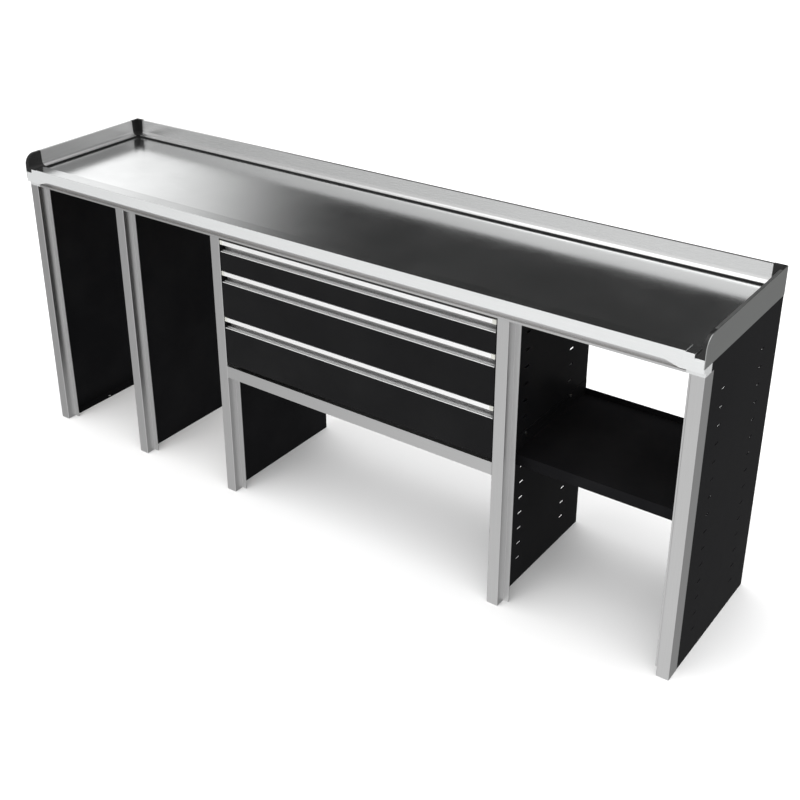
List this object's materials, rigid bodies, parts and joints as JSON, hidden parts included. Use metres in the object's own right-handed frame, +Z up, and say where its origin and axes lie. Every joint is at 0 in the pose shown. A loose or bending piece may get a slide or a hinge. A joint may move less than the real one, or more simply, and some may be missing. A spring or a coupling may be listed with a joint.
{
  "type": "workbench with drawers",
  "caption": "Long workbench with folded sheet panels, aluminium posts, a steel worktop with raised edges, drawers over a knee space, and a shelf in an end bay.",
  "frame": {"origin": "centre of the bench's footprint, on the floor", "axes": "+X along the bench towards the shelf bay, +Y from the drawer fronts to the back, +Z up"},
  "size_m": [2.281, 0.492, 0.963],
  "materials": {
    "aluminium": "satin anodised",
    "black_panel": "semi-gloss",
    "black_front": "semi-gloss",
    "black_tray": "satin",
    "stainless": "polished",
    "end_plate": "satin",
    "board": "raw board",
    "black_plastic": "moulded",
    "gasket": "smooth",
    "grey_plastic": "moulded",
    "zinc": "zinc plated"
  },
  "bodies": {
    "frame": {"back_gasket": "gasket", "back_upstand": "aluminium", "corner_bracket_left": "aluminium", "corner_bracket_right": "aluminium", "divider_panel_1": "black_panel", "divider_panel_2": "black_panel", "divider_panel_3": "black_panel", "end_panel_left": "black_panel", "end_panel_right": "black_panel", "front_edge_profile": "aluminium", "front_post_1": "aluminium", "front_post_2": "aluminium", "front_post_3": "aluminium", "front_post_4": "aluminium", "front_post_5": "aluminium", "front_top_rail": "aluminium", "knee_rail": "aluminium", "rear_top_rail": "aluminium", "shelf": "black_panel", "shelf_screws": "zinc", "side_gasket_left": "gasket", "side_gasket_right": "gasket", "side_plate_left": "end_plate", "side_plate_right": "end_plate", "side_upstand_left": "aluminium", "side_upstand_right": "aluminium", "slide_brackets_left": "zinc", "slide_brackets_right": "zinc", "slide_outer_left_bottom": "zinc", "slide_outer_left_middle": "zinc", "slide_outer_left_top": "zinc", "slide_outer_right_bottom": "zinc", "slide_outer_right_middle": "zinc", "slide_outer_right_top": "zinc", "upstand_corner_left": "black_plastic", "upstand_corner_right": "black_plastic", "upstand_end_cap_left": "black_plastic", "upstand_end_cap_right": "black_plastic", "worktop_board": "board", "worktop_sheet": "stainless"},
    "drawer_top": {"drawer_front_top": "black_front", "drawer_handle_top": "aluminium", "handle_caps_top": "grey_plastic", "drawer_box_top": "black_tray", "slide_inners_top": "zinc"},
    "slide_middle_top": {"slide_middles_top": "zinc"},
    "drawer_middle": {"drawer_front_middle": "black_front", "drawer_handle_middle": "aluminium", "handle_caps_middle": "grey_plastic", "drawer_box_middle": "black_tray", "slide_inners_middle": "zinc"},
    "slide_middle_middle": {"slide_middles_middle": "zinc"},
    "drawer_bottom": {"drawer_front_bottom": "black_front", "drawer_handle_bottom": "aluminium", "handle_caps_bottom": "grey_plastic", "drawer_box_bottom": "black_tray", "slide_inners_bottom": "zinc"},
    "slide_middle_bottom": {"slide_middles_bottom": "zinc"}
  },
  "joints": [
    {"name": "drawer_top_slide", "type": "slide", "parent": "frame", "child": "drawer_top", "axis": [0, -1, 0], "range_m": [0, 0.4]},
    {"name": "slide_middle_top_slide", "type": "slide", "parent": "frame", "child": "slide_middle_top", "axis": [0, -1, 0], "range_m": [0, 0.2]},
    {"name": "drawer_middle_slide", "type": "slide", "parent": "frame", "child": "drawer_middle", "axis": [0, -1, 0], "range_m": [0, 0.4]},
    {"name": "slide_middle_middle_slide", "type": "slide", "parent": "frame", "child": "slide_middle_middle", "axis": [0, -1, 0], "range_m": [0, 0.2]},
    {"name": "drawer_bottom_slide", "type": "slide", "parent": "frame", "child": "drawer_bottom", "axis": [0, -1, 0], "range_m": [0, 0.4]},
    {"name": "slide_middle_bottom_slide", "type": "slide", "parent": "frame", "child": "slide_middle_bottom", "axis": [0, -1, 0], "range_m": [0, 0.2]}
  ],
  "couplings": [
    {"joint": "slide_middle_top_slide", "follows": "drawer_top_slide", "ratio": 0.5},
    {"joint": "slide_middle_middle_slide", "follows": "drawer_middle_slide", "ratio": 0.5},
    {"joint": "slide_middle_bottom_slide", "follows": "drawer_bottom_slide", "ratio": 0.5}
  ]
}
